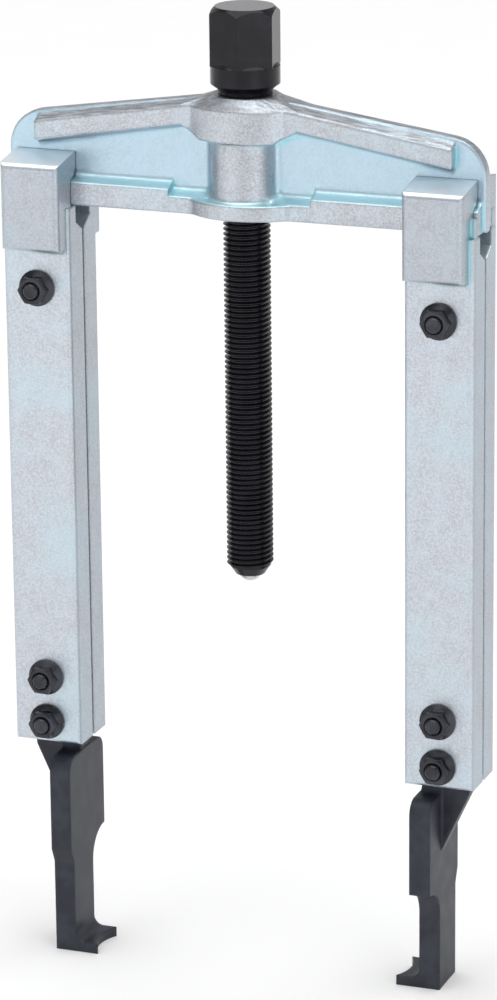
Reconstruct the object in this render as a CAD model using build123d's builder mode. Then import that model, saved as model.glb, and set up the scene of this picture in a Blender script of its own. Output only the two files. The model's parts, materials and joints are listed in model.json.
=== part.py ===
"""Two-arm gear puller: forged cross beam, sliding two-plate legs, thin claws and a ball-tipped spindle.

Frame: X along the beam, Y to the back, +Z up. The origin is on the spindle axis, level with the
underside of the claws. All sizes are in millimetres.
"""
import math
import os

from build123d import *

os.makedirs("parts", exist_ok=True)

# ---- driving dimensions: heights above the claws' underside ----
blade_step_z = 43.5
blade_top_z = 81.6
leg_bottom_z = 87.1
bolt_heights = (95.9, 114.3, 271.65)
tang_top_z = 123.0
head_bottom_z = 287.4
beam_bottom_z = 303.7
head_edge_z = 321.0
hub_top_z = 349.9
spindle_tip_z = 161.7
spindle_top_z = 383.05

# ---- driving dimensions: cross beam ----
beam_half_length = 95.4
rail_half_length = 94.0
rail_half_depth = 8.5
rail_thickness = 8.9
rail_inner_thickness = 6.3
rail_step_x = 28.5
rail_slope_rise = 2.2
rail_edge_fillet = 1.0
web_half = 2.75
web_foot_fillet = 3.0
web_edge_fillet = 1.0
beam_end_radius = 15.0
ridge_start_z = 348.7
ridge_slope = 0.144
flange_start_x = 14.0
flange_end_x = 83.6
flange_half_depth_start = 9.2
flange_half_depth_end = 7.6
flange_edge_start_z = 347.0
flange_edge_slope = 0.172
flange_underside_drop = 1.6
flange_thickness = 7.2
flange_edge_fillet = 1.4
flange_root_fillet = 2.4
flange_end_fillet = 1.2
boss_radius = 13.5
boss_fillet = 3.5
boss_ring_fillet = 1.8
band_half_length = 24.0
band_arc_half_length = 19.2
band_side_half_depth = 8.6
band_half_depth = 15.7
band_corner_fillet = 6.0
band_edge_fillet = 1.0
band_slope_start_x = 14.5
band_slope_rise = 5.0
upper_band_bottom_z = 333.2
upper_band_top_z = 345.4
hub_ring_radius = 12.6

# ---- driving dimensions: spindle and thrust ball ----
thread_radius = 9.0
thread_clearance = 0.07
tip_radius = 5.8
tip_end_radius = 7.8
tip_taper_length = 3.0
neck_radius = 10.3
neck_gap = 0.3
thread_end_chamfer = 1.2
collar_radius = 13.2
collar_bottom_z = 351.9
collar_top_z = 360.8
collar_bevel_width = 2.6
collar_bevel_height = 2.0
collar_undercut = 0.6
hex_across_flats = 24.0
hex_turned_radius = 13.8
hex_top_radius = 11.2
hex_angle = 37.0
ball_radius = 5.0
ball_clearance = 0.05
ball_protrusion = 3.3

# ---- driving dimensions: legs ----
leg_centre_x = 80.8
leg_width = 27.6
leg_half_depth = 13.7
leg_gap_half = 1.0
leg_corner_fillet = 2.0
head_centre_x = 80.3
head_width = 24.0
head_half_depth = 21.2
head_lip_rise = 2.6
lip_bevel = 2.2
lip_bevel_drop = 0.7
head_fillet = 2.4
head_root_fillet = 3.0
shoulder_depth = 3.0
shoulder_inset = 0.4
slide_clearance = 0.4
relief_half_depth = 7.2
relief_depth = 6.4
relief_slope_depth = 3.8
tang_half_thickness = 3.3
tang_half_width = 9.8
pocket_clearance = 0.4
tang_corner_fillet = 5.0

# ---- driving dimensions: claws ----
claw_foot_thickness = 4.0
blade_inner_x = 70.5
blade_outer_x = 78.8
blade_half_width = 17.5
narrow_low_y = -5.0
narrow_high_y = 14.8
shoulder_radius = 6.0
scallop_radius = 12.0
edge_step_height = 6.0
foot_tip_x = 61.0
foot_hollow = 3.0
foot_fillet = 4.0
neck_fillet = 3.0
gusset_low_z = 57.5
gusset_outer_x = 90.0
gusset_corner_z = 81.9

# ---- driving dimensions: M6 flange bolts and nuts ----
bolt_radius = 3.0
bolt_hole_radius = 3.25
wrench_size = 10.0
wrench_chamfer = 0.2
wrench_chamfer_angle = 30.0
flange_radius = 7.1
flange_rim = 1.1
flange_cone_height = 1.6
nut_height = 6.4
bolt_head_height = 7.5
bolt_end_height = 7.7
bolt_end_chamfer = 0.6
nut_bore_clearance = 0.05
nut_mouth_chamfer = 0.7

# ---- derived values ----
overlap = 2.0
rail_top_z = beam_bottom_z + rail_thickness
rail_inner_top_z = beam_bottom_z + rail_inner_thickness
hub_bore_radius = thread_radius + thread_clearance
spindle_shoulder_z = hub_top_z + neck_gap
ball_centre_z = spindle_tip_z - ball_protrusion + ball_radius
leg_inner_x = leg_centre_x - leg_width / 2
leg_outer_x = leg_centre_x + leg_width / 2
shoulder_inner_x = head_centre_x + head_width / 2 - head_fillet
shoulder_outer_x = leg_outer_x - shoulder_inset
slot_half_depth = rail_half_depth + slide_clearance
slot_floor_z = beam_bottom_z - slide_clearance
lip_root_z = rail_top_z + rail_slope_rise + slide_clearance
lip_tip_y = web_half + slide_clearance
narrow_mid_y = (narrow_low_y + narrow_high_y) / 2
narrow_half_width = (narrow_high_y - narrow_low_y) / 2
foot_hollow_radius = (narrow_half_width**2 + foot_hollow**2) / (2 * foot_hollow)


def ridge_z(x):
    """Height of the beam's top ridge at the distance x from the spindle axis."""
    return ridge_start_z - ridge_slope * (x - flange_start_x)


def corners_at(sketch, half_width, low=0.0, high=1000.0):
    """The sketch's corners on both sides at half_width, between two heights."""
    return sketch.vertices().filter_by(
        lambda v: abs(abs(v.X) - half_width) < 0.01 and low < v.Y < high
    )


def rail_section(x, top_z):
    """Section of the bottom rail at x, with rounded edges and a fillet up to the web."""
    shoulder_z = top_z + rail_slope_rise
    stub_top_z = shoulder_z + web_foot_fillet
    with BuildSketch(Plane.YZ.offset(x)) as section:
        with BuildLine():
            Polyline(
                (-rail_half_depth, beam_bottom_z),
                (rail_half_depth, beam_bottom_z),
                (rail_half_depth, top_z),
                (web_half, shoulder_z),
                (web_half, stub_top_z),
                (-web_half, stub_top_z),
                (-web_half, shoulder_z),
                (-rail_half_depth, top_z),
                close=True,
            )
        make_face()
        fillet(corners_at(section, web_half, high=stub_top_z - 1), web_foot_fillet)
        fillet(corners_at(section, rail_half_depth), rail_edge_fillet)
    return section.sketch


def flange_section(side, x, half_depth):
    """Section of the crowned top flange at the distance x, on the side -1 or 1."""
    edge_z = flange_edge_start_z - flange_edge_slope * (x - flange_start_x)
    low_z = edge_z - flange_thickness
    root_z = low_z - flange_underside_drop
    stub_z = root_z - flange_root_fillet
    with BuildSketch(Plane.YZ.offset(side * x)) as section:
        with BuildLine():
            Polyline(
                (0, ridge_z(x)),
                (half_depth, edge_z),
                (half_depth, low_z),
                (web_half, root_z),
                (web_half, stub_z),
                (-web_half, stub_z),
                (-web_half, root_z),
                (-half_depth, low_z),
                (-half_depth, edge_z),
                close=True,
            )
        make_face()
        fillet(corners_at(section, half_depth), flange_edge_fillet)
        fillet(corners_at(section, web_half, low=stub_z + 1), flange_root_fillet)
    return section.sketch


def top_flange(side):
    """The crowned top flange on the side -1 or 1, with its outer end rounded."""
    with BuildPart() as flange:
        near_section = flange_section(side, flange_start_x, flange_half_depth_start)
        far_section = flange_section(side, flange_end_x, flange_half_depth_end)
        loft([near_section, far_section])
        outer_end = flange.faces().sort_by(Axis.X if side > 0 else -Axis.X)[-1]
        fillet(outer_end.edges(), flange_end_fillet)
    return flange.part


def band_plan(z):
    """Plan of a hub band at the height z: straight ends, bowed out to the front and back."""
    with BuildSketch(Plane.XY.offset(z)) as plan:
        Rectangle(2 * band_half_length, 2 * band_side_half_depth)
        with BuildLine():
            arc_left = (-band_arc_half_length, -band_side_half_depth)
            arc_right = (band_arc_half_length, -band_side_half_depth)
            ThreePointArc(arc_left, (0, -band_half_depth), arc_right)
            Line(arc_right, arc_left)
        make_face()
        mirror(plan.sketch, about=Plane.XZ)
        bow_roots = plan.vertices().filter_by(
            lambda v: abs(abs(v.X) - band_arc_half_length) < 0.01
        )
        fillet(bow_roots, band_corner_fillet)
    return plan.sketch


def lower_band():
    """The band around the foot of the boss, level with the rail and with rounded edges."""
    with BuildPart() as band:
        extrude(band_plan(beam_bottom_z), amount=rail_inner_thickness)
        outlines = band.faces().sort_by(Axis.Z)[:1] + band.faces().sort_by(Axis.Z)[-1:]
        fillet(outlines.edges(), band_edge_fillet)
    return band.part


def upper_band():
    """The band under the hub's top; its underside rises to the flanges at both ends."""
    with BuildPart() as band:
        extrude(band_plan(upper_band_bottom_z), amount=upper_band_top_z - upper_band_bottom_z)
        with BuildSketch(Plane.XZ):
            with BuildLine():
                Polyline(
                    (-band_slope_start_x, upper_band_bottom_z),
                    (band_slope_start_x, upper_band_bottom_z),
                    (band_half_length, upper_band_bottom_z + band_slope_rise),
                    (band_half_length, upper_band_top_z),
                    (-band_half_length, upper_band_top_z),
                    (-band_half_length, upper_band_bottom_z + band_slope_rise),
                    close=True,
                )
            make_face()
        extrude(amount=band_half_depth, both=True, mode=Mode.INTERSECT)
        low_faces = band.faces().filter_by(lambda f: f.normal_at().Z < -0.5)
        low_outline = low_faces.edges().filter_by(Axis.Y, reverse=True)
        fillet(low_outline, band_edge_fillet)
    return band.part


# ---- cross beam: one forging, an I-section with a hub for the spindle ----
with BuildPart() as cross_beam:
    with BuildSketch(Plane.XZ) as side_view:
        with BuildLine():
            Polyline(
                (-beam_half_length, beam_bottom_z),
                (beam_half_length, beam_bottom_z),
                (beam_half_length, ridge_z(beam_half_length)),
                (flange_start_x, ridge_start_z),
                (-flange_start_x, ridge_start_z),
                (-beam_half_length, ridge_z(beam_half_length)),
                close=True,
            )
        make_face()
        fillet(corners_at(side_view, beam_half_length, low=beam_bottom_z + 1), beam_end_radius)
    extrude(amount=web_half, both=True)
    fillet(cross_beam.faces().filter_by(Axis.Y).edges(), web_edge_fillet)
    for start_x, end_x, top_z in (
        (-rail_half_length, -rail_step_x, rail_top_z),
        (-rail_step_x, rail_step_x, rail_inner_top_z),
        (rail_step_x, rail_half_length, rail_top_z),
    ):
        extrude(rail_section(start_x, top_z), amount=end_x - start_x)
    for side in (-1, 1):
        add(top_flange(side))
    with BuildSketch(Plane.XY.offset(rail_inner_top_z - overlap)):
        Circle(boss_radius)
    extrude(amount=upper_band_bottom_z + overlap - (rail_inner_top_z - overlap))
    add(lower_band())
    add(upper_band())
    boss_roots = cross_beam.edges().filter_by(Axis.Z).filter_by(
        lambda e: abs(math.hypot((e @ 0.5).X, (e @ 0.5).Y) - boss_radius) < 0.05
        and abs(abs((e @ 0.5).Y) - web_half) < 0.05
    )
    fillet(boss_roots, boss_fillet)
    with BuildSketch(Plane.XZ):
        for ring_z, rise in (
            (rail_inner_top_z, boss_ring_fillet),
            (upper_band_bottom_z, -boss_ring_fillet),
        ):
            with BuildLine():
                ring_edge = (boss_radius + boss_ring_fillet, ring_z)
                ring_end = (boss_radius, ring_z + rise)
                inner_x = boss_radius - overlap
                Polyline(ring_end, (inner_x, ring_z + rise), (inner_x, ring_z), ring_edge)
                TangentArc(ring_edge, ring_end, tangent=(-1, 0))
            make_face()
    revolve(axis=Axis.Z)
    with BuildSketch(Plane.XY.offset(hub_top_z)) as hub_ring:
        Circle(hub_ring_radius)
    loft([band_plan(upper_band_top_z), hub_ring.sketch])
    with Locations((0, 0, beam_bottom_z)):
        Cylinder(
            hub_bore_radius,
            hub_top_z - beam_bottom_z,
            align=(Align.CENTER, Align.CENTER, Align.MIN),
            mode=Mode.SUBTRACT,
        )

cross_beam.part.label = "cross_beam"
export_step(cross_beam.part, "parts/cross_beam.step")


# ---- spindle: threaded rod with a turned collar, a wrench hexagon and a seat for the ball ----
with BuildPart() as spindle:
    with BuildSketch(Plane.XY.offset(collar_top_z)):
        RegularPolygon(hex_across_flats / 2, 6, major_radius=False, rotation=hex_angle)
    extrude(amount=spindle_top_z - collar_top_z)
    with BuildSketch(Plane.XZ):
        with BuildLine():
            chamfer_width = hex_turned_radius - hex_top_radius
            Polyline(
                (0, collar_top_z),
                (hex_turned_radius, collar_top_z),
                (hex_turned_radius, spindle_top_z - chamfer_width),
                (hex_top_radius, spindle_top_z),
                (0, spindle_top_z),
                close=True,
            )
        make_face()
    revolve(axis=Axis.Z, mode=Mode.INTERSECT)
    with BuildSketch(Plane.XZ):
        with BuildLine():
            Polyline(
                (0, spindle_tip_z),
                (tip_radius, spindle_tip_z),
                (tip_end_radius, spindle_tip_z + tip_taper_length),
                (thread_radius, spindle_tip_z + tip_taper_length + thread_end_chamfer),
                (thread_radius, spindle_shoulder_z),
                (neck_radius, spindle_shoulder_z),
                (neck_radius, collar_bottom_z - collar_undercut),
                (collar_radius - collar_bevel_width, collar_bottom_z),
                (collar_radius, collar_bottom_z + collar_bevel_height),
                (collar_radius, collar_top_z),
                (hex_top_radius, collar_top_z + collar_bevel_height),
                (0, collar_top_z + collar_bevel_height),
                close=True,
            )
        make_face()
    revolve(axis=Axis.Z)
    with Locations((0, 0, ball_centre_z)):
        Sphere(ball_radius + ball_clearance, mode=Mode.SUBTRACT)

spindle.part.label = "spindle"
export_step(spindle.part, "parts/spindle.step")


# ---- thrust ball: a loose bearing ball held by the spindle's rolled-in tip ----
with BuildPart() as thrust_ball:
    with Locations((0, 0, ball_centre_z)):
        Sphere(ball_radius)

thrust_ball.part.label = "thrust_ball"
export_step(thrust_ball.part, "parts/thrust_ball.step")


# ---- leg plate: back plate of the right leg, the other three are its mirror images ----
with BuildPart() as right_back_plate:
    with BuildSketch(Plane.XY.offset(leg_bottom_z)):
        with Locations((leg_centre_x, (leg_gap_half + leg_half_depth) / 2)):
            Rectangle(leg_width, leg_half_depth - leg_gap_half)
    extrude(amount=slot_floor_z - leg_bottom_z)
    plate_edges = right_back_plate.faces().sort_by(Axis.Y)[-1].edges()
    plate_bottom = plate_edges.sort_by(Axis.Z)[:1]
    fillet(plate_edges.filter_by(Axis.Z) + plate_bottom, leg_corner_fillet)
    with BuildSketch(Plane.YZ.offset(head_centre_x - head_width / 2)):
        with BuildLine():
            Polyline(
                (slot_half_depth, slot_floor_z),
                (slot_half_depth, rail_top_z + slide_clearance),
                (lip_tip_y + lip_bevel, lip_root_z - lip_bevel_drop),
                (lip_tip_y, lip_root_z + lip_bevel),
                (lip_tip_y, head_edge_z + head_lip_rise),
                (head_half_depth, head_edge_z),
                (head_half_depth, head_bottom_z),
                (leg_half_depth - overlap, head_bottom_z),
                (leg_half_depth - overlap, slot_floor_z),
                close=True,
            )
        make_face()
    extrude(amount=head_width)
    fillet(right_back_plate.faces().sort_by(Axis.Y)[-1].edges(), head_fillet)
    underside_edges = right_back_plate.edges().filter_by(Axis.X).filter_by(
        lambda e: abs((e @ 0.5).Z - head_bottom_z) < 0.01
    )
    fillet(underside_edges.sort_by(Axis.Y)[:1], head_root_fillet)
    with BuildSketch(Plane.XY.offset(slot_floor_z - overlap)):
        with Locations((shoulder_inner_x, slot_half_depth)):
            Rectangle(
                shoulder_outer_x - shoulder_inner_x,
                shoulder_depth,
                align=(Align.MIN, Align.MIN),
            )
    extrude(amount=rail_top_z - slot_floor_z)
    with BuildSketch(Plane.YZ.offset(leg_inner_x)):
        with BuildLine():
            relief_bottom_z = slot_floor_z - relief_depth
            Polyline(
                (0, slot_floor_z + overlap),
                (relief_half_depth, slot_floor_z + overlap),
                (relief_half_depth, relief_bottom_z),
                (leg_gap_half, relief_bottom_z - relief_slope_depth),
                (0, relief_bottom_z - relief_slope_depth),
                close=True,
            )
        make_face()
    extrude(amount=leg_width, mode=Mode.SUBTRACT)
    with BuildSketch(Plane.XY.offset(leg_bottom_z)):
        with Locations((leg_centre_x, 0)):
            Rectangle(2 * (tang_half_width + pocket_clearance), 2 * tang_half_thickness)
    extrude(amount=tang_top_z + pocket_clearance - leg_bottom_z, mode=Mode.SUBTRACT)
    with BuildSketch(Plane.XZ):
        with Locations(*[(leg_centre_x, bolt_z) for bolt_z in bolt_heights]):
            Circle(bolt_hole_radius)
    extrude(amount=-leg_half_depth, mode=Mode.SUBTRACT)

right_plates = {
    "right_back_plate": right_back_plate.part,
    "right_front_plate": mirror(right_back_plate.part, about=Plane.XZ),
}
for name, plate in right_plates.items():
    plate.label = name
    export_step(plate, f"parts/{name}.step")
    left_name = name.replace("right", "left")
    left_plate = mirror(plate, about=Plane.YZ)
    left_plate.label = left_name
    export_step(left_plate, f"parts/{left_name}.step")


# ---- claw: thin offset blade with an inward foot, a side gusset and a tang between the plates ----
with BuildPart() as right_claw:
    with BuildSketch(Plane.XZ) as side_view:
        with BuildLine():
            Polyline(
                (blade_inner_x, blade_top_z),
                (blade_outer_x, blade_top_z),
                (blade_outer_x, 0),
                (foot_tip_x, 0),
                (foot_tip_x, claw_foot_thickness),
                (blade_inner_x, claw_foot_thickness),
                close=True,
            )
        make_face()
        foot_root = side_view.vertices().sort_by_distance((blade_inner_x, claw_foot_thickness))[:1]
        fillet(foot_root, foot_fillet)
    extrude(amount=blade_half_width, both=True)
    with BuildSketch(Plane.YZ):
        with BuildLine():
            outline_start = (narrow_low_y, 0)
            scallop_top = (narrow_low_y - scallop_radius, blade_step_z)
            scallop_bottom = (narrow_low_y, blade_step_z - scallop_radius)
            Line(outline_start, scallop_bottom)
            TangentArc(scallop_bottom, scallop_top, tangent=(0, 1))
            Polyline(
                scallop_top,
                (-blade_half_width, blade_step_z),
                (-blade_half_width, blade_top_z),
                (blade_half_width, blade_top_z),
                (blade_half_width, blade_step_z),
                (narrow_high_y, blade_step_z - edge_step_height),
                (narrow_high_y, 0),
                outline_start,
            )
        make_face()
    extrude(amount=leg_outer_x, mode=Mode.INTERSECT)
    shoulders = right_claw.edges().filter_by(Axis.X).group_by(Axis.Z)[-1]
    fillet(shoulders, shoulder_radius)
    with BuildSketch(Plane.XY):
        with Locations((foot_tip_x + foot_hollow - foot_hollow_radius, narrow_mid_y)):
            Circle(foot_hollow_radius)
    extrude(amount=claw_foot_thickness, mode=Mode.SUBTRACT)
    with BuildSketch(Plane.XZ) as tang_view:
        with BuildLine():
            Polyline(
                (leg_centre_x - tang_half_width, blade_top_z - shoulder_radius),
                (leg_centre_x - tang_half_width, tang_top_z),
                (leg_centre_x + tang_half_width, tang_top_z),
                (leg_centre_x + tang_half_width, leg_bottom_z),
                (gusset_outer_x, gusset_corner_z),
                (blade_outer_x, gusset_low_z),
                (blade_outer_x - overlap, gusset_low_z),
                close=True,
            )
        make_face()
        fillet(tang_view.vertices().group_by(Axis.Y)[-1], tang_corner_fillet)
    extrude(amount=tang_half_thickness, both=True)
    neck_roots = right_claw.edges().filter_by(Axis.X).filter_by(
        lambda e: abs((e @ 0.5).Z - blade_top_z) < 0.01
        and abs(abs((e @ 0.5).Y) - tang_half_thickness) < 0.01
    )
    fillet(neck_roots, neck_fillet)
    with BuildSketch(Plane.XZ):
        with Locations(*[(leg_centre_x, bolt_z) for bolt_z in bolt_heights[:2]]):
            Circle(bolt_hole_radius)
    extrude(amount=tang_half_thickness, both=True, mode=Mode.SUBTRACT)

right_claw.part.label = "right_claw"
export_step(right_claw.part, "parts/right_claw.step")
left_claw = Rot(0, 0, 180) * right_claw.part
left_claw.label = "left_claw"
export_step(left_claw, "parts/left_claw.step")


def flanged_hexagon(base, height):
    """A chamfered wrench hexagon on a round flange, standing on the plane base."""
    chamfer_radius = wrench_size / 2 - wrench_chamfer
    with BuildPart(base) as body:
        with BuildSketch(base):
            RegularPolygon(wrench_size / 2, 6, major_radius=False)
        extrude(amount=height)
        with Locations(Location((0, 0, 0))):
            Cone(
                chamfer_radius + height / math.tan(math.radians(wrench_chamfer_angle)),
                chamfer_radius,
                height,
                align=(Align.CENTER, Align.CENTER, Align.MIN),
                mode=Mode.INTERSECT,
            )
            Cylinder(
                flange_radius,
                flange_rim,
                align=(Align.CENTER, Align.CENTER, Align.MIN),
            )
        with Locations(Location((0, 0, flange_rim))):
            Cone(
                flange_radius,
                wrench_size / 2,
                flange_cone_height,
                align=(Align.CENTER, Align.CENTER, Align.MIN),
            )
    return body.part


# ---- fasteners: three bolts per leg from the back, with flange nuts on the front ----
for leg_name, side in (("left", -1), ("right", 1)):
    for level_name, bolt_z in zip(("lower", "middle", "upper"), bolt_heights):
        bolt_x = side * leg_centre_x
        back_face = Plane((bolt_x, leg_half_depth, bolt_z), x_dir=(1, 0, 0), z_dir=(0, 1, 0))
        front_face = Plane((bolt_x, -leg_half_depth, bolt_z), x_dir=(1, 0, 0), z_dir=(0, -1, 0))
        with BuildPart() as bolt:
            add(flanged_hexagon(back_face, bolt_head_height))
            with BuildSketch(back_face):
                Circle(bolt_radius)
            extrude(amount=-(2 * leg_half_depth + bolt_end_height))
            bolt_end = bolt.faces().sort_by(Axis.Y)[0]
            chamfer(bolt_end.edges(), bolt_end_chamfer)
        bolt.part.label = f"{leg_name}_{level_name}_bolt"
        export_step(bolt.part, f"parts/{bolt.part.label}.step")
        with BuildPart() as nut:
            add(flanged_hexagon(front_face, nut_height))
            with BuildSketch(front_face):
                Circle(bolt_radius + nut_bore_clearance)
            extrude(amount=nut_height, mode=Mode.SUBTRACT)
            nut_mouth = nut.faces().sort_by(Axis.Y)[0].edges().filter_by(GeomType.CIRCLE)
            chamfer(nut_mouth.sort_by(SortBy.RADIUS)[:1], nut_mouth_chamfer)
        nut.part.label = f"{leg_name}_{level_name}_nut"
        export_step(nut.part, f"parts/{nut.part.label}.step")
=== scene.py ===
"""Two-arm gear puller: materials, threaded spindle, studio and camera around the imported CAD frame."""
import json
import math

import bmesh
import bpy
from mathutils import Matrix, Vector


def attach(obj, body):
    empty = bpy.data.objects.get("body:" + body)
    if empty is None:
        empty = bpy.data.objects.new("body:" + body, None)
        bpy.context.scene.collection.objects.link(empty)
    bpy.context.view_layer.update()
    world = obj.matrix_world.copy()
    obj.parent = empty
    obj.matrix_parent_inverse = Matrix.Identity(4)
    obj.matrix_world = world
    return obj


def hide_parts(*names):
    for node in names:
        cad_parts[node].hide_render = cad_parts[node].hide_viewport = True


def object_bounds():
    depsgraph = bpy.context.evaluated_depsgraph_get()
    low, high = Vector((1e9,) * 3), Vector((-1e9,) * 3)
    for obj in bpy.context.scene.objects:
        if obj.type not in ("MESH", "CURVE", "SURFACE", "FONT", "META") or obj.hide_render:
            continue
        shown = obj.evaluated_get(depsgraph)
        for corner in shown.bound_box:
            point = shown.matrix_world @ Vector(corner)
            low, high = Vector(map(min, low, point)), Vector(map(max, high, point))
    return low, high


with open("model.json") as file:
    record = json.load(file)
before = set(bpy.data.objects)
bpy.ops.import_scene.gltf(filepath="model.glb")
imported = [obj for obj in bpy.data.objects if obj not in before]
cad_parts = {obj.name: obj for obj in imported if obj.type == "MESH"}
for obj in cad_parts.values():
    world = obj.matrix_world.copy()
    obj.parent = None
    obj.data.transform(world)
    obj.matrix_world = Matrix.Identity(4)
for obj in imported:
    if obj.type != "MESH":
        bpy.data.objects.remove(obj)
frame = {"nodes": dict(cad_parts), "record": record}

MM = 0.001
cad_low, cad_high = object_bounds()

# ---- camera: seen from the front, a little from the right and above ----
CAMERA_AZIMUTH = 20.67
CAMERA_ELEVATION = 16.92
CAMERA_ROLL = -0.60
CAMERA_DISTANCE = 1.7444
CAMERA_TARGET_X = -0.0005
CAMERA_TARGET_SHARE = 0.49761
CAMERA_LENS = 163.34

# ---- spindle thread, M18 x 2 ----
PITCH = 2 * MM
THREAD_DEPTH = 1.12 * MM
THREAD_STEPS = 72
THREAD_PROFILE = ((-0.0625, 0.0), (0.0625, 0.0), (0.375, 1.0), (0.625, 1.0))
ROD_RADIUS = 9 * MM
# the rod's side lies outside the first radius, the end of the tip inside the second
ROD_SIDE_LIMIT = 7 * MM
TIP_END_LIMIT = 6 * MM
THREAD_END_LIFT = 0.1 * MM
THREAD_END_MARGIN = 0.15 * MM
THREAD_TOP_MARGIN = 0.4 * MM
RIM_REACH = 0.5 * MM
FIT_TOLERANCE = 0.02 * MM
WELD_DISTANCE = 0.001 * MM
SMOOTHING_ANGLE = math.radians(28)

# ---- heights over which the zinc changes its look, each from none to full ----
HEAD_HEIGHTS = (286 * MM, 289 * MM)
CROWN_HEIGHTS = (329 * MM, 333 * MM)
TROUGH_HEIGHTS = (321 * MM, 317 * MM)

# ---- the web's blue fades out with the distance from the beam's middle plane ----
WEB_DEPTHS = (7.4 * MM, 3.6 * MM)

# ---- size of the corners that collect tint, and the streaks of painted shade drawn out along X ----
CORNER_REACH = 5 * MM
STREAK_STRETCH = (0.06, 1.0, 1.0)

FLOOR_HALF = 9.0


class Graph:
    """Builds a node tree: numbers and colours go in as values, sockets as links."""

    def __init__(self, tree):
        self.tree = tree
        tree.nodes.clear()

    def node(self, kind, inputs=None, **settings):
        made = self.tree.nodes.new(kind)
        for key, value in settings.items():
            setattr(made, key, value)
        for key, value in (inputs or {}).items():
            socket = made.inputs[key]
            if isinstance(value, bpy.types.NodeSocket):
                self.tree.links.new(value, socket)
            else:
                socket.default_value = value
        return made

    def math(self, operation, *values, clamp=False):
        return self.node(
            "ShaderNodeMath", dict(enumerate(values)), operation=operation, use_clamp=clamp
        ).outputs[0]

    def ramp(self, value, low, high, low_to=0.0, high_to=1.0):
        """A smooth step of value from low_to at low to high_to at high."""
        return self.node(
            "ShaderNodeMapRange",
            {"Value": value, "From Min": low, "From Max": high, "To Min": low_to, "To Max": high_to},
            interpolation_type="SMOOTHSTEP",
        ).outputs["Result"]

    def noise(self, vector, size, detail=2.0, roughness=0.5, distortion=0.0):
        """Noise whose blobs are about size metres across."""
        return self.node(
            "ShaderNodeTexNoise",
            {
                "Vector": vector,
                "Scale": 1 / size,
                "Detail": detail,
                "Roughness": roughness,
                "Distortion": distortion,
            },
        ).outputs["Fac"]

    def mix(self, factor, first, second):
        """The colour first, turned towards the colour second by factor."""
        return self.node(
            "ShaderNodeMix", {"Factor": factor, 6: first, 7: second}, data_type="RGBA"
        ).outputs[2]

    def times(self, first, second):
        return self.math("MULTIPLY", first, second)

    def object_place(self):
        return self.node("ShaderNodeTexCoord").outputs["Object"]

    def surface_normal(self):
        return self.node("ShaderNodeNewGeometry").outputs["Normal"]

    def components(self, vector):
        return self.node("ShaderNodeSeparateXYZ", {"Vector": vector}).outputs

    def rounded_edges(self, radius):
        """The surface normal, with edges rounded off to radius."""
        return self.node("ShaderNodeBevel", {"Radius": radius}, samples=6).outputs["Normal"]

    def bump(self, height, distance, strength, normal):
        return self.node(
            "ShaderNodeBump",
            {"Height": height, "Distance": distance, "Strength": strength, "Normal": normal},
        ).outputs["Normal"]


def colour(red, green, blue):
    return (red, green, blue, 1.0)


# ---- tints in the zinc plating, and colours of painted light and shade ----
MOTTLE_BLUE = colour(0.60, 0.68, 0.76)
CLOUD_BLUE = colour(0.55, 0.72, 0.80)
WEB_BLUE = colour(0.50, 0.68, 0.80)
CORNER_CYAN = colour(0.36, 0.76, 0.84)
TROUGH_PAINTED_LIGHT = colour(0.68, 0.96, 1.0)
TOP_PAINTED_LIGHT = colour(0.86, 0.93, 0.97)
SIDE_PAINTED_SHADE = colour(0.24, 0.27, 0.31)
HEAD_GREY = colour(0.24, 0.26, 0.29)
CROWN_PAINTED_SHADE = colour(0.23, 0.235, 0.25)
RELIEF_SHADE_GREEN = colour(0.05, 0.13, 0.12)


def new_material(name):
    material = bpy.data.materials.new(name)
    material.use_nodes = True
    return material, Graph(material.node_tree)


def finish_material(graph, base, roughness, normal, **sockets):
    """Ends a material in one Principled shader."""
    shader = graph.node(
        "ShaderNodeBsdfPrincipled", {"Base Color": base, "Roughness": roughness, "Normal": normal}
    )
    for key, value in sockets.items():
        shader.inputs[key.replace("_", " ")].default_value = value
    graph.node("ShaderNodeOutputMaterial", {"Surface": shader.outputs["BSDF"]})


def zinc_grain(g, place, body, fleck, cloud_strength):
    """Blasted zinc: grey grain under a soft blue mottle and larger pale clouds."""
    grain = g.noise(place, 0.75 * MM, detail=3, roughness=0.6)
    mottle = g.noise(place, 7 * MM, detail=3)
    cloud = g.noise(place, 34 * MM, detail=2)
    base = g.mix(g.ramp(grain, 0.34, 0.66), body, fleck)
    base = g.mix(g.ramp(mottle, 0.35, 0.68, 0.0, 0.35), base, MOTTLE_BLUE)
    base = g.mix(g.ramp(cloud, 0.45, 0.70, 0.0, cloud_strength), base, CLOUD_BLUE)
    return grain, base


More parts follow.
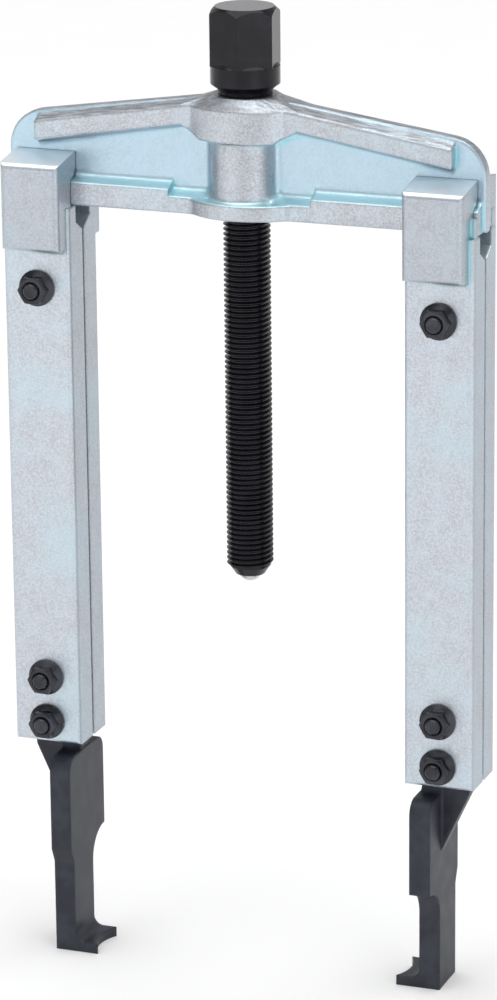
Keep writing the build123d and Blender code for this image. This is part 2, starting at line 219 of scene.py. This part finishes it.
def zinc_tints(g, place, base, is_beam, top_painted_light, side_painted_shade, head_shade):
    """Tints in the plating, and painted light and shade, by where a face lies and which way it looks.

    Both kinds: painted shade on the sides, cyan corners, painted light on the tops.
    Beam: blue web, painted shade streaked along the crown, painted light tinted cyan in the trough.
    Plates: darker heads, painted shade tinted dark green in the reliefs.
    """
    facing = g.components(g.surface_normal())
    where = g.components(place)
    forward = g.ramp(g.math("ABSOLUTE", facing["Y"]), 0.35, 0.85)
    sideways = g.ramp(g.math("ABSOLUTE", facing["X"]), 0.60, 0.95)
    upward = g.ramp(facing["Z"], 0.30, 0.90)
    # painted shade: faces turned along X are drawn darker
    base = g.mix(g.times(sideways, side_painted_shade), base, SIDE_PAINTED_SHADE)
    head = g.times(g.ramp(where["Z"], *HEAD_HEIGHTS), forward)
    base = g.mix(g.times(head, head_shade), base, HEAD_GREY)
    if is_beam:
        web = g.times(g.ramp(g.math("ABSOLUTE", where["Y"]), *WEB_DEPTHS), forward)
        base = g.mix(g.times(web, 0.75), base, WEB_BLUE)
    openness = g.node(
        "ShaderNodeAmbientOcclusion", {"Distance": CORNER_REACH}, samples=8, only_local=True
    ).outputs["AO"]
    crown = g.times(g.ramp(where["Z"], *CROWN_HEIGHTS), upward)
    corner = g.times(g.ramp(openness, 0.86, 0.52), g.math("SUBTRACT", 1.0, crown))
    base = g.mix(g.times(corner, 0.85), base, CORNER_CYAN)
    # painted shade: the crown's upward faces are drawn darker, in streaks drawn out along X
    along = g.node("ShaderNodeVectorMath", {0: place, 1: STREAK_STRETCH}, operation="MULTIPLY")
    shade_streak = g.noise(along.outputs[0], 1.1 * MM, detail=3)
    shade_streak = g.ramp(shade_streak, 0.40, 0.62, 0.25, 0.85)
    base = g.mix(g.times(crown, shade_streak), base, CROWN_PAINTED_SHADE)
    # painted light: upward faces off the crown are drawn whiter
    painted_top_light = g.math("SUBTRACT", upward, crown, clamp=True)
    base = g.mix(g.times(painted_top_light, top_painted_light), base, TOP_PAINTED_LIGHT)
    if is_beam:
        # painted light, tinted cyan like the plating, on the trough's upward faces
        trough = g.times(g.ramp(where["Z"], *TROUGH_HEIGHTS), upward)
        return g.mix(g.times(trough, 0.9), base, TROUGH_PAINTED_LIGHT)
    # painted shade, tinted dark green like the plating, in the deepest hollows
    return g.mix(g.times(g.ramp(openness, 0.50, 0.25), 0.85), base, RELIEF_SHADE_GREEN)


def zinc(name, body, fleck, cloud_strength, is_beam, top_painted_light, side_painted_shade, head_shade, edge_radius):
    """Zinc-plated, shot-blasted steel with soft edges."""
    material, g = new_material(name)
    place = g.object_place()
    grain, base = zinc_grain(g, place, body, fleck, cloud_strength)
    base = zinc_tints(g, place, base, is_beam, top_painted_light, side_painted_shade, head_shade)
    pits = g.noise(place, 2.2 * MM, detail=2, roughness=0.55)
    roughness = g.ramp(grain, 0.3, 0.7, 0.46, 0.30)
    normal = g.bump(pits, 0.10 * MM, 0.8, g.rounded_edges(edge_radius))
    normal = g.bump(grain, 0.045 * MM, 0.9, normal)
    finish_material(g, base, roughness, normal, Metallic=0.9)
    return material


def dark_steel(name, body, worn, roughness_low, roughness_high, edge_radius, grain_size, dent, specular):
    """Blackened or phosphated steel: fine grain, softly worn edges and slight mottling."""
    material, g = new_material(name)
    place = g.object_place()
    grain = g.noise(place, grain_size, detail=3, roughness=0.6)
    mottle = g.noise(place, 9 * MM, detail=3)
    edge = g.rounded_edges(edge_radius)
    turn = g.node("ShaderNodeVectorMath", {0: edge, 1: g.surface_normal()}, operation="DOT_PRODUCT")
    rubbed = g.times(g.ramp(turn.outputs["Value"], 0.995, 0.90), g.ramp(grain, 0.35, 0.6))
    base = g.mix(g.ramp(mottle, 0.35, 0.7, 0.0, 0.5), body, worn)
    base = g.mix(g.times(rubbed, 0.6), base, worn)
    roughness = g.ramp(mottle, 0.3, 0.7, roughness_low, roughness_high)
    normal = g.bump(grain, dent, 0.8, edge)
    finish_material(g, base, roughness, normal, Metallic=0.2, Specular_IOR_Level=specular)
    return material


def turned_black(name):
    """Burnished black spindle: turning rings on the end face, fine lines round the sides."""
    material, g = new_material(name)
    place = g.object_place()
    where = g.components(place)
    on_top = g.ramp(g.components(g.surface_normal())["Z"], 0.90, 0.98)
    radius = g.math("SQRT", g.math("ADD", g.times(where["X"], where["X"]), g.times(where["Y"], where["Y"])))
    rings = g.math("SINE", g.times(radius, 2 * math.pi / (0.55 * MM)))
    lines = g.math("SINE", g.times(where["Z"], 2 * math.pi / (0.50 * MM)))
    lines = g.times(lines, g.ramp(g.noise(place, 3 * MM, detail=2), 0.35, 0.65))
    marks = g.node("ShaderNodeMix", {"Factor": on_top, 2: lines, 3: rings}).outputs[0]
    grain = g.noise(place, 0.6 * MM, detail=3)
    mottle = g.noise(place, 8 * MM, detail=3)
    base = g.mix(g.ramp(mottle, 0.35, 0.7), colour(0.004, 0.004, 0.007), colour(0.010, 0.010, 0.015))
    base = g.mix(g.times(on_top, 0.9), base, colour(0.19, 0.19, 0.20))
    roughness = g.ramp(grain, 0.3, 0.7, 0.15, 0.26)
    normal = g.bump(marks, 0.006 * MM, 0.8, g.rounded_edges(0.25 * MM))
    normal = g.bump(grain, 0.02 * MM, 0.6, normal)
    finish_material(g, base, roughness, normal, Metallic=0.2, Specular_IOR_Level=0.35)
    return material


def polished_ball(name):
    """Bearing steel: bright, with faint swirled wear."""
    material, g = new_material(name)
    place = g.object_place()
    swirl = g.noise(place, 1.2 * MM, detail=4, distortion=1.5)
    base = g.mix(g.ramp(swirl, 0.4, 0.65), colour(0.66, 0.66, 0.65), colour(0.50, 0.50, 0.50))
    roughness = g.ramp(swirl, 0.35, 0.7, 0.12, 0.30)
    normal = g.node(
        "ShaderNodeBump", {"Height": swirl, "Distance": 0.01 * MM, "Strength": 0.5}
    ).outputs["Normal"]
    finish_material(g, base, roughness, normal, Metallic=1.0)
    return material


materials = {
    "forged_zinc": zinc(
        "zinc_forging",
        body=colour(0.42, 0.44, 0.48),
        fleck=colour(0.58, 0.605, 0.65),
        cloud_strength=0.35,
        is_beam=True,
        top_painted_light=0.15,
        side_painted_shade=0.20,
        head_shade=0.0,
        edge_radius=1.3 * MM,
    ),
    "leg_zinc": zinc(
        "zinc_plate",
        body=colour(0.48, 0.51, 0.56),
        fleck=colour(0.62, 0.65, 0.70),
        cloud_strength=0.45,
        is_beam=False,
        top_painted_light=1.0,
        side_painted_shade=0.40,
        head_shade=0.26,
        edge_radius=1.0 * MM,
    ),
    "claw_steel": dark_steel(
        "claw_slate",
        body=colour(0.020, 0.023, 0.034),
        worn=colour(0.056, 0.061, 0.080),
        roughness_low=0.40,
        roughness_high=0.52,
        edge_radius=2.0 * MM,
        grain_size=0.7 * MM,
        dent=0.03 * MM,
        specular=0.4,
    ),
    "fastener_steel": dark_steel(
        "fastener_black",
        body=colour(0.009, 0.010, 0.015),
        worn=colour(0.075, 0.079, 0.098),
        roughness_low=0.18,
        roughness_high=0.32,
        edge_radius=0.4 * MM,
        grain_size=0.5 * MM,
        dent=0.012 * MM,
        specular=0.5,
    ),
    "black_steel": turned_black("spindle_black"),
    "ball_steel": polished_ball("ball_bright"),
}

# ---- every CAD node takes the finish of its slot ----
slot_of = {part["node"]: part["material_slot"] for part in frame["record"]["subparts"]}
for name, node in frame["nodes"].items():
    for holder in node.material_slots:
        holder.material = materials[slot_of[name]]


# ---- spindle with a real helical thread ----
def ring_radius(vertex):
    return math.hypot(vertex.co.x, vertex.co.y)


def add_thread(bm, low_z, low_radius, high_z, high_radius, crest_radius):
    """Adds a right-hand thread whose height tapers to a flat ring at each end."""
    turns = math.ceil((high_z - low_z) / PITCH) + 2
    columns = []
    for step in range(THREAD_STEPS):
        share = step / THREAD_STEPS
        angle = 2 * math.pi * share
        column = []
        for turn in range(-2, turns):
            for offset, sink in THREAD_PROFILE:
                z = low_z + PITCH * (turn + offset + share)
                radius = min(
                    crest_radius - THREAD_DEPTH * sink,
                    low_radius + max(0.0, z - low_z),
                    high_radius + max(0.0, high_z - z),
                )
                z = min(max(z, low_z), high_z)
                if z == low_z:
                    radius = low_radius
                if z == high_z:
                    radius = high_radius
                point = (radius * math.cos(angle), radius * math.sin(angle), z)
                column.append(bm.verts.new(point))
        columns.append(column)
    per_turn = len(THREAD_PROFILE)
    for step, column in enumerate(columns):
        last = step == THREAD_STEPS - 1
        shift = per_turn if last else 0
        beside = columns[0] if last else columns[step + 1]
        for row in range(len(column) - 1 - shift):
            bm.faces.new((column[row], beside[row + shift], beside[row + shift + 1], column[row + 1]))


def make_threaded_spindle(source):
    """A copy of the CAD spindle whose plain rod is replaced with a threaded one."""
    bm = bmesh.new()
    bm.from_mesh(source.data)
    bmesh.ops.remove_doubles(bm, verts=bm.verts, dist=WELD_DISTANCE)
    rod_verts = [v for v in bm.verts if abs(ring_radius(v) - ROD_RADIUS) < FIT_TOLERANCE]
    rod_low = min(v.co.z for v in rod_verts)
    rod_high = max(v.co.z for v in rod_verts)
    below_rod = [v for v in bm.verts if v.co.z < rod_low - FIT_TOLERANCE]
    chamfer_low = max(v.co.z for v in below_rod if ring_radius(v) > TIP_END_LIMIT)

    def on_the_rod(vertex):
        in_height = chamfer_low - FIT_TOLERANCE < vertex.co.z < rod_high + FIT_TOLERANCE
        return in_height and ROD_SIDE_LIMIT < ring_radius(vertex) < ROD_RADIUS + FIT_TOLERANCE

    doomed = [f for f in bm.faces if all(on_the_rod(v) for v in f.verts)]
    bmesh.ops.delete(bm, geom=doomed, context="FACES")
    loose = [v for v in bm.verts if not v.link_faces]
    bmesh.ops.delete(bm, geom=loose, context="VERTS")
    low_radius = max(ring_radius(v) for v in bm.verts if abs(v.co.z - chamfer_low) < FIT_TOLERANCE)
    thread_low = chamfer_low + THREAD_END_MARGIN
    thread_high = rod_high - THREAD_TOP_MARGIN
    add_thread(
        bm, thread_low, low_radius + THREAD_END_LIFT, thread_high, ROD_RADIUS - THREAD_DEPTH, ROD_RADIUS
    )
    bmesh.ops.remove_doubles(bm, verts=bm.verts, dist=WELD_DISTANCE)
    for level in (thread_low, thread_high):
        rims = [
            e
            for e in bm.edges
            if len(e.link_faces) == 1 and all(abs(v.co.z - level) < RIM_REACH for v in e.verts)
        ]
        bmesh.ops.bridge_loops(bm, edges=rims)
    bmesh.ops.recalc_face_normals(bm, faces=bm.faces)
    mesh = bpy.data.meshes.new("threaded_spindle")
    bm.verts.index_update()
    points = [v.co.copy() for v in bm.verts]
    faces = [[v.index for v in f.verts] for f in bm.faces]
    mesh.from_pydata(points, [], faces)
    bm.free()
    mesh.shade_smooth()
    mesh.set_sharp_from_angle(angle=SMOOTHING_ANGLE)
    made = bpy.data.objects.new("threaded_spindle", mesh)
    bpy.context.scene.collection.objects.link(made)
    made.data.materials.append(materials["black_steel"])
    return made


threaded_spindle = make_threaded_spindle(frame["nodes"]["spindle"])
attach(threaded_spindle, "spindle")
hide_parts("spindle")

# ---- floor ----
floor_mesh = bpy.data.meshes.new("studio_floor")
floor_mesh.from_pydata(
    [
        (-FLOOR_HALF, -FLOOR_HALF, cad_low.z),
        (FLOOR_HALF, -FLOOR_HALF, cad_low.z),
        (FLOOR_HALF, FLOOR_HALF, cad_low.z),
        (-FLOOR_HALF, FLOOR_HALF, cad_low.z),
    ],
    [],
    [(0, 1, 2, 3)],
)
floor = bpy.data.objects.new("studio_floor", floor_mesh)
bpy.context.scene.collection.objects.link(floor)
floor_material, g = new_material("pale_floor")
paper = g.noise(g.object_place(), 50 * MM, detail=2)
finish_material(
    g,
    g.mix(paper, colour(0.97, 0.97, 0.97), colour(0.985, 0.985, 0.985)),
    g.ramp(paper, 0.3, 0.7, 0.85, 0.95),
    g.node("ShaderNodeBump", {"Height": paper, "Distance": 0.1 * MM}).outputs["Normal"],
)
floor_mesh.materials.append(floor_material)

# ---- soft studio light ----
centre = (cad_low + cad_high) / 2


def softbox(name, azimuth, elevation, distance, width, height, watts):
    """A large area light aimed at the puller; azimuth 0 is in front, 90 to the right."""
    a = math.radians(azimuth)
    e = math.radians(elevation)
    towards = Vector((math.sin(a) * math.cos(e), -math.cos(a) * math.cos(e), math.sin(e)))
    data = bpy.data.lights.new(name, "AREA")
    data.shape = "RECTANGLE"
    data.size = width
    data.size_y = height
    data.energy = watts
    lamp = bpy.data.objects.new(name, data)
    lamp.location = centre + towards * distance
    lamp.rotation_mode = "QUATERNION"
    lamp.rotation_quaternion = towards.to_track_quat("Z", "Y")
    lamp.visible_camera = False
    bpy.context.scene.collection.objects.link(lamp)


softbox("overhead_box", azimuth=0, elevation=80, distance=1.8, width=2.2, height=2.2, watts=5)
softbox("right_back_box", azimuth=128, elevation=24, distance=1.6, width=0.9, height=1.5, watts=1.0)
softbox("right_front_box", azimuth=52, elevation=12, distance=1.8, width=0.9, height=1.0, watts=3)
softbox("left_front_box", azimuth=-30, elevation=12, distance=2.0, width=1.4, height=1.0, watts=4)

sky_data = bpy.data.lights.new("soft_sky", "SUN")
sky_data.energy = 1.7
sky_data.angle = math.radians(70)
sky = bpy.data.objects.new("soft_sky", sky_data)
bpy.context.scene.collection.objects.link(sky)

world = bpy.data.worlds.new("studio")
bpy.context.scene.world = world
world.use_nodes = True
g = Graph(world.node_tree)
direction = g.node("ShaderNodeTexCoord").outputs["Generated"]
glow_centre = (-0.35, 0.90, 0.25)
towards = g.node("ShaderNodeVectorMath", {0: direction, 1: glow_centre}, operation="DOT_PRODUCT")
glow = g.ramp(towards.outputs["Value"], 0.60, 0.95, 0.42, 0.62)
seen = g.node("ShaderNodeLightPath").outputs["Is Camera Ray"]
strength = g.node("ShaderNodeMix", {"Factor": seen, 2: glow, 3: 1.0}).outputs[0]
background = g.node("ShaderNodeBackground", {"Color": colour(1.0, 1.0, 1.0), "Strength": strength})
g.node("ShaderNodeOutputWorld", {"Surface": background.outputs["Background"]})
bpy.context.scene.view_settings.view_transform = "Standard"

# ---- camera ----
azimuth = math.radians(CAMERA_AZIMUTH)
elevation = math.radians(CAMERA_ELEVATION)
back = Vector(
    (
        math.sin(azimuth) * math.cos(elevation),
        -math.cos(azimuth) * math.cos(elevation),
        math.sin(elevation),
    )
)
target = Vector((CAMERA_TARGET_X, 0, cad_low.z + CAMERA_TARGET_SHARE * (cad_high.z - cad_low.z)))
camera_data = bpy.data.cameras.new("camera")
camera_data.lens = CAMERA_LENS
camera = bpy.data.objects.new("camera", camera_data)
bpy.context.scene.collection.objects.link(camera)
camera.location = target + back * CAMERA_DISTANCE
camera.rotation_mode = "QUATERNION"
roll = Matrix.Rotation(math.radians(CAMERA_ROLL), 4, back)
camera.rotation_quaternion = roll.to_quaternion() @ back.to_track_quat("Z", "Y")
camera_data.clip_end = 50
bpy.context.scene.camera = camera
